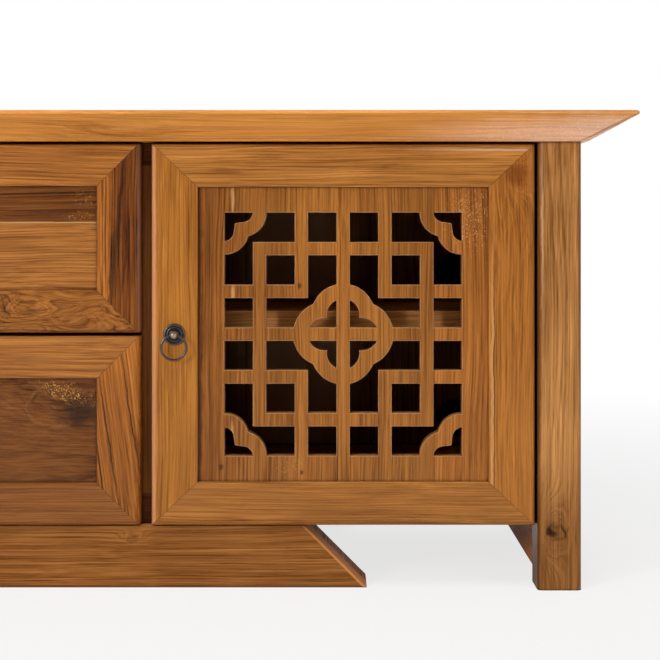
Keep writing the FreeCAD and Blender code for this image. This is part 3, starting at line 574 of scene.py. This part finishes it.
mitred_member("upper_drawer_top_rail", "X", (160, 99, 42), (0.02, 0.15), lean=-0.02)
mitred_member("upper_drawer_bottom_rail", "X", (129, 76, 28), (0.035, 0.05), taper=0.06, ring=0.0048,
              swirl=0.05, figure=1.4, knot=UPPER_SWIRL, knot_reach=0.010, knot_rise=0.020, knot_heart=0.25)
mitred_member("lower_drawer_right_stile", "Z", (162, 97, 36), (0.03, 0.12), lean=-0.13, ring=0.004,
              marks=SLANTS)
mitred_member("lower_drawer_left_stile", "Z", (154, 92, 34), (0.03, 0.12), lean=-0.05)
mitred_member("lower_drawer_top_rail", "X", (154, 96, 42), (0.02, 0.15), figure=0.9)
mitred_member("lower_drawer_bottom_rail", "X", (125, 74, 31), (0.03, 0.12), figure=0.8)

# Drawer panels
# The upper drawer's panel is glued up from two planks, with dark heartwood above a thin pale seam.
# The lower drawer's panel is one dark board with a burl and golden flecks in its corner.
DARK_PLANK = mark((0.0, 0.886), (WIDE, 0.5), (197, 180, 158), 1.0, soft=0.001, ragged=0.0, way="MULTIPLY")
UPPER_SEAM = mark((0.0, 0.3862), (WIDE, 0.0007), (212, 164, 110), 0.6, ragged=0.0008)
UPPER_FLECKS = [mark(at, half, (206, 148, 76), 0.6, soft=0.6, speck=1.0)
                for at, half in (((0.2285, 0.411), (0.012, 0.007)), ((0.222, 0.3930), (0.013, 0.004)))]
varnished_teak("upper_drawer_front_panel", "X", "Z", (149, 93, 40), pith=(0.04, 0.08365), plank=0.1,
               marks=(DARK_PLANK, UPPER_SEAM, *UPPER_FLECKS))
BURL = (0.202, -0.171, 0.192)
BURL_RING = mark((0.1934, 0.1925), (0.0246, 0.0226), (168, 114, 60), 0.32, soft=0.05, ragged=0.016,
                 hollow=1.0)
BURL_FLECKS = mark((0.208, 0.2075), (0.027, 0.009), (230, 172, 88), 0.85, soft=0.6, speck=1.0, turn=-0.35)
BURL_CLOUD = mark((0.224, 0.187), (0.021, 0.015), (36, 18, 8), 0.8, soft=0.7, ragged=0.02)
varnished_teak("lower_drawer_front_panel", "X", "Z", (106, 60, 21), pith=(0.035, 0.04), taper=0.06, knot=BURL,
               figure=0.95, ring=0.007, knot_reach=0.024, knot_rise=0.03,
               marks=(BURL_RING, BURL_CLOUD, BURL_FLECKS))

# Drawer boxes
# Plain teak sides, back and inner front, grooved for a thin bottom.
# They are left paler than the fronts, with a plain seal coat.
for drawer in ("upper_drawer", "lower_drawer"):
    varnished_teak(drawer + "_box_walls", "Y", "Z", (176, 117, 52), pith=(0.04, 0.10), figure=0.8)
    varnished_teak(drawer + "_box_bottom", "X", "Y", (182, 126, 60), pith=(0.05, 0.06), plank=0.11,
                   figure=0.8)

# Hinges, strikes and catches
# Burnished dark steel: the sockets let into the doors and legs, the curved links between them, and the
# magnetic catch with its strike plate. The faces are brushed along their length.
steel = uneven_finish("burnished_steel", (30, 27, 25), (54, 49, 46), metallic=1.0,
                      times=(2600.0, 2600.0, 90.0), grit=0.6, rough=0.4, rougher_by=0.3)
for fitting in ("carcass_fittings", "right_door_fittings", "left_door_fittings", "right_door_hinge_links",
                "left_door_hinge_links"):
    dress(fitting, steel)

# Ring pulls
# A turned bronze rosette with two beads and a ball, and a wire ring that hangs from the ball.
# The metal is aged: dark in the grooves and rubbed brighter on the beads, the ball and the ring.
PULL_STEPS = 64
BALL_R = 0.00425
BALL_OUT = 0.0085
BALL_FACETS = 9
RING_R = 0.01315
WIRE_R = 0.00135
WIRE_SIDES = 16
ROSETTE = ((0.0, 0.0), (11.4, 0.0), (11.4, 0.7), (11.1, 1.4), (10.5, 1.9), (9.8, 1.9), (9.2, 1.4), (8.9, 0.9),
           (8.4, 0.9), (8.0, 1.4), (7.4, 1.8), (6.8, 1.6), (6.4, 1.2), (5.4, 1.1), (4.2, 1.5), (3.0, 2.3),
           (2.3, 3.2), (2.1, 4.2))

bronze, bronze_tree, bronze_shader, bronze_spot = new_finish("aged_bronze")
age_marks = {"Spot": bronze_spot, "Times": (420.0, 420.0, 420.0), "Detail": 4.0, "Grit": 0.65, "Rough": 0.16}
tarnish = put(bronze_tree, "Group", age_marks, node_tree=UNEVEN).outputs
worn = reckon(bronze_tree, "MULTIPLY_ADD", tarnish["Mask"], 0.8, 0.45)
proud = rise(bronze_tree, put(bronze_tree, "NewGeometry").outputs["Pointiness"], 0.47, 0.60)
rubbed = reckon(bronze_tree, "MULTIPLY", proud, worn)
aged = stain(bronze_tree, rubbed, tint(58, 56, 60), tint(128, 122, 120))
polish = put(bronze_tree, "Attribute", attribute_name="polish").outputs["Fac"]
bronze_hue = stain(bronze_tree, polish, aged, tint(172, 154, 134))
bronze_tree.links.new(bronze_hue, bronze_shader.inputs["Base Color"])
bronze_tree.links.new(tarnish["Roughness"], bronze_shader.inputs["Roughness"])
bronze_shader.inputs["Metallic"].default_value = 0.9


def pull_piece(name, form, body, node):
    """Turns a finished bmesh into a bronze piece that stands for a CAD node and rides on its body."""
    bmesh.ops.remove_doubles(form, verts=form.verts, dist=1e-6)
    bmesh.ops.recalc_face_normals(form, faces=form.faces)
    for face in form.faces:
        face.smooth = True
    mesh = bpy.data.meshes.new(name)
    form.to_mesh(mesh)
    form.free()
    mesh.materials.append(bronze)
    made = bpy.data.objects.new(name, mesh)
    bpy.context.scene.collection.objects.link(made)
    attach(made, body)
    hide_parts(node)


def rosette(centre):
    """The turned plate and its ball, spun about the pull's own axis."""
    outline = [Vector((radius, -out, 0)) / 1000 for radius, out in ROSETTE]
    neck = math.asin(outline[-1].x / BALL_R) - math.pi / 2
    for step in range(BALL_FACETS + 1):
        turn = neck + (math.pi / 2 - neck) * step / BALL_FACETS
        outline.append(Vector((BALL_R * math.cos(turn), -BALL_OUT - BALL_R * math.sin(turn), 0)))
    form = bmesh.new()
    shine = form.verts.layers.float.new("polish")
    rim = [form.verts.new(centre + point) for point in outline]
    for point in rim[len(ROSETTE):]:
        point[shine] = 1.0
    edges = [form.edges.new(pair) for pair in zip(rim, rim[1:])]
    bmesh.ops.spin(form, geom=rim + edges, cent=centre, axis=(0, 1, 0), angle=math.tau, steps=PULL_STEPS,
                   use_merge=True)
    return form


def wire_ring(centre):
    """The ring: a round wire spun about the ring's middle."""
    middle = centre + Vector((0, -BALL_OUT, -RING_R))
    form = bmesh.new()
    wire = bmesh.ops.create_circle(form, segments=WIRE_SIDES, radius=WIRE_R,
                                   matrix=Matrix.Translation(middle + Vector((RING_R, 0, 0))))["verts"]
    bmesh.ops.spin(form, geom=wire + form.edges[:], cent=middle, axis=(0, 1, 0), angle=math.tau,
                   steps=PULL_STEPS, use_merge=True)
    return form


for front in ("right_door", "left_door", "upper_drawer", "lower_drawer"):
    low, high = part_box(front + "_pull_plate")
    seat = Vector(((low.x + high.x) / 2, high.y, (low.z + high.z) / 2))
    pull_piece(front + "_rosette", rosette(seat), front, front + "_pull_plate")
    pull_piece(front + "_ring", wire_ring(seat), front + "_pull_ring", front + "_pull_ring")

# Floor, light and camera
# A plain pale floor that fades to white, soft daylight all round, and five soft lamps.
# The camera stands before the right-hand door, level, with the picture shifted down.
FLOOR_HALF = 12.0
FLOOR_WHITE = 0.75
FLOOR_FADE = (0.9, 2.2)
BEHIND_FRONT = (-0.3, 0.3)

floor_mesh = bpy.data.meshes.new("floor")
floor_form = bmesh.new()
bmesh.ops.create_grid(floor_form, x_segments=1, y_segments=1, size=FLOOR_HALF)
floor_form.to_mesh(floor_mesh)
floor_form.free()
floor = bpy.data.objects.new("floor", floor_mesh)
bpy.context.scene.collection.objects.link(floor)


def seen_directly(tree, spot):
    """1 for rays that show the background: straight, through glass, or mirrored from behind the front."""
    rays = put(tree, "LightPath").outputs
    behind = rise(tree, put(tree, "SeparateXYZ", {0: spot}).outputs[1], *BEHIND_FRONT)
    mirrored = reckon(tree, "MULTIPLY", rays["Is Glossy Ray"], behind)
    shown = reckon(tree, "MAXIMUM", rays["Is Camera Ray"], mirrored)
    return reckon(tree, "MAXIMUM", shown, rays["Is Transmission Ray"])


floor_finish, floor_tree, floor_shader, floor_spot = new_finish("pale_floor")
floor_tree.nodes.remove(floor_shader)
speckle = {"Spot": floor_spot, "Times": (40.0, 40.0, 40.0)}
speckle.update({"Dark Hue": tint(240, 240, 239), "Light Hue": tint(246, 246, 245)})
pale = put(floor_tree, "Group", speckle, node_tree=UNEVEN).outputs["Color"]
matt = put(floor_tree, "BsdfDiffuse", {"Color": pale}).outputs[0]
glow = put(floor_tree, "Emission", {"Color": (1, 1, 1, 1), "Strength": 1.0}).outputs[0]
fade = rise(floor_tree, steer(floor_tree, "LENGTH", floor_spot), *FLOOR_FADE)
whiter = reckon(floor_tree, "MULTIPLY_ADD", fade, 1.0 - FLOOR_WHITE, FLOOR_WHITE)
blend = reckon(floor_tree, "MULTIPLY", whiter, seen_directly(floor_tree, floor_spot))
blend = put(floor_tree, "MixShader", {0: blend, 1: matt, 2: glow}).outputs[0]
floor_tree.links.new(blend, floor_tree.nodes["Material Output"].inputs["Surface"])
floor_mesh.materials.append(floor_finish)

DAYLIGHT = 0.18
world = bpy.data.worlds.new("studio")
bpy.context.scene.world = world
world.use_nodes = True
sky = world.node_tree
backdrop = sky.nodes["Background"]
backdrop.inputs["Color"].default_value = (1, 1, 1, 1)
sky_spot = put(sky, "TexCoord").outputs["Generated"]
level = reckon(sky, "MULTIPLY_ADD", seen_directly(sky, sky_spot), 1.0 - DAYLIGHT, DAYLIGHT)
sky.links.new(level, backdrop.inputs["Strength"])


def soft_lamp(name, place, target, size, power, gleam=True):
    """A large oblong lamp, width by height, that shines from a place at a target, with or without a gleam."""
    lamp = bpy.data.lights.new(name, "AREA")
    lamp.shape = "RECTANGLE"
    lamp.size, lamp.size_y = size
    lamp.energy = power
    holder = bpy.data.objects.new(name, lamp)
    holder.location = place
    holder.rotation_euler = (Vector(target) - Vector(place)).to_track_quat("-Z", "Y").to_euler()
    holder.visible_camera = False
    holder.visible_glossy = gleam
    bpy.context.scene.collection.objects.link(holder)


FRONT_MIDDLE = (0.4, -0.17, 0.28)
soft_lamp("left_lamp", (-1.6, -2.4, 1.1), FRONT_MIDDLE, (0.4, 0.9), 41.0)
soft_lamp("right_lamp", (2.7, -2.3, 1.3), FRONT_MIDDLE, (0.5, 1.8), 20.0)
soft_lamp("top_lamp", (0.4, -1.2, 2.2), (0.4, -1.1, 0.0), (1.2, 1.2), 22.0, gleam=False)
soft_lamp("low_lamp", (0.3, -0.75, 0.004), (0.3, -0.75, 0.5), (1.6, 0.6), 1.7, gleam=False)
soft_lamp("back_lamp", (0.0, 2.6, 1.4), (0.0, 0.2, 0.25), (1.6, 1.0), 30.0, gleam=False)

lens = bpy.data.cameras.new("camera")
lens.lens = 78.0
lens.sensor_width = 36.0
lens.shift_y = -0.144
camera = bpy.data.objects.new("camera", lens)
camera.location = (0.486, -1.675, 0.373)
camera.rotation_euler = (math.pi / 2, 0, 0)
bpy.context.scene.collection.objects.link(camera)
bpy.context.scene.camera = camera
bpy.context.scene.view_settings.view_transform = "Standard"
